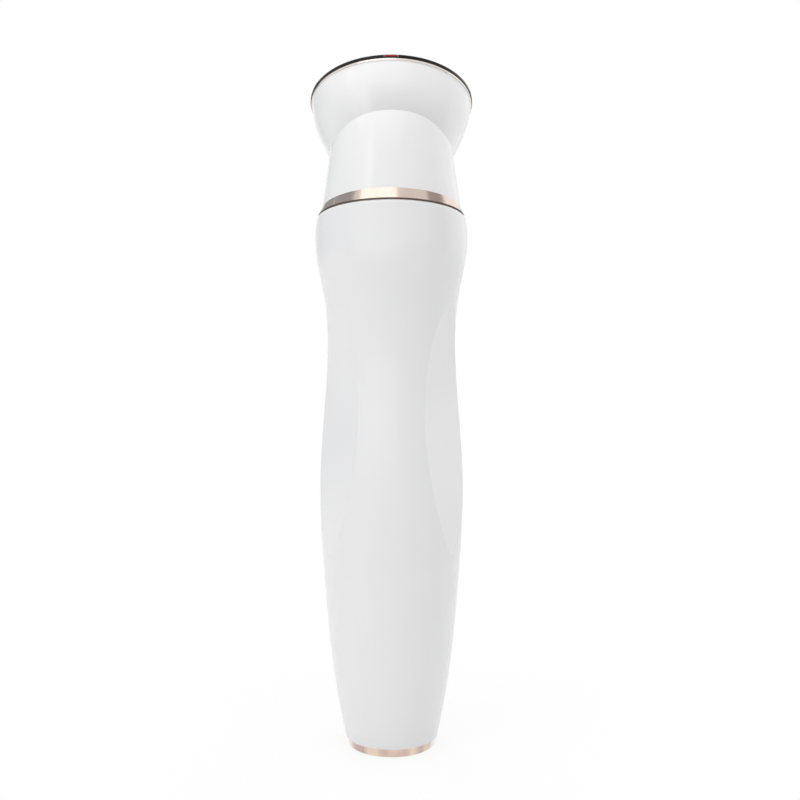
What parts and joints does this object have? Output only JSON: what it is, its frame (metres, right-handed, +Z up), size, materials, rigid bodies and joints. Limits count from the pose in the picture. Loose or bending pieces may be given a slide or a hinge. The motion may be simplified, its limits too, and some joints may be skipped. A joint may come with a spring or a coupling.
{
  "type": "facial toning device",
  "caption": "Hand-held facial toning wand that stands on its base, with a leaning round treatment head, waisted grip, push buttons and a spinning vibration weight",
  "frame": {"origin": "middle of the flat underside of the base, where the wand stands", "axes": "+Z up along the grip, -Y towards the treatment face and the buttons, +Y towards the back of the grip, +X to the right when looking along +Y"},
  "size_m": [0.0426, 0.0468, 0.1872],
  "materials": {
    "shell_white": "satin moulded white plastic",
    "head_white": "polished white plastic",
    "rose_gold": "rose-gold plated, polished",
    "face_black": "polished black plastic",
    "lamp_red": "clear red diffuser",
    "electrode_metal": "polished plated metal",
    "guide_clear": "frosted clear plastic",
    "board_green": "solder mask on laminate",
    "chip_black": "moulded black resin",
    "led_white": "lamp body with yellow phosphor",
    "screw_steel": "zinc plated steel",
    "cell_sleeve": "shrink sleeve",
    "foam_black": "soft black gasket",
    "chassis_grey": "moulded grey plastic",
    "motor_steel": "drawn steel can",
    "ribbon_white": "flat cable film",
    "bobbin_amber": "wound coil with amber tape"
  },
  "bodies": {
    "housing": {"front_shell": "shell_white", "rear_shell": "shell_white", "control_panel": "head_white", "indicator_guide": "guide_clear", "base_ring": "rose_gold", "base_plate": "shell_white", "charge_contacts": "rose_gold", "base_screws": "screw_steel", "chassis": "chassis_grey", "battery_cell": "cell_sleeve", "battery_strap": "foam_black", "vibration_motor": "motor_steel", "boost_transformer": "bobbin_amber", "main_board": "board_green", "board_chips": "chip_black", "indicator_leds": "led_white", "shell_screws": "screw_steel", "collar_gasket": "foam_black", "collar_ring": "rose_gold", "neck_screws": "screw_steel", "neck_shell": "head_white", "head_cup": "head_white", "trim_ring": "rose_gold", "face_bezel": "face_black", "rim_light_lens": "lamp_red", "light_ring": "lamp_red", "face_plate": "face_black", "skin_sensor": "electrode_metal", "head_frame": "head_white", "lamp_board": "board_green", "lamp_leds": "led_white", "head_screws": "screw_steel", "ribbon_sockets": "chip_black", "head_ribbon": "ribbon_white", "power_switch": "chip_black", "mode_switch": "chip_black", "level_switch": "chip_black", "electrode_1": "electrode_metal", "electrode_2": "electrode_metal", "electrode_3": "electrode_metal", "electrode_4": "electrode_metal"},
    "power_button": {"power_button": "rose_gold", "power_plunger": "chip_black"},
    "mode_button": {"mode_button": "rose_gold", "mode_plunger": "chip_black"},
    "level_button": {"level_button": "rose_gold", "level_plunger": "chip_black"},
    "motor_rotor": {"motor_shaft": "screw_steel", "vibration_weight": "screw_steel"}
  },
  "joints": [
    {"name": "power_press", "type": "slide", "parent": "housing", "child": "power_button", "axis": [0, 1, 0], "range_m": [0, 0.0005], "stiffness_N_per_m": 1500},
    {"name": "mode_press", "type": "slide", "parent": "housing", "child": "mode_button", "axis": [0, 1, 0], "range_m": [0, 0.0005], "stiffness_N_per_m": 1500},
    {"name": "level_press", "type": "slide", "parent": "housing", "child": "level_button", "axis": [0, 1, 0], "range_m": [0, 0.0005], "stiffness_N_per_m": 1500},
    {"name": "motor_spin", "type": "hinge", "parent": "housing", "child": "motor_rotor", "pos_m": [0, 0.004, 0.14], "axis": [0, 0, 1], "continuous": true}
  ]
}
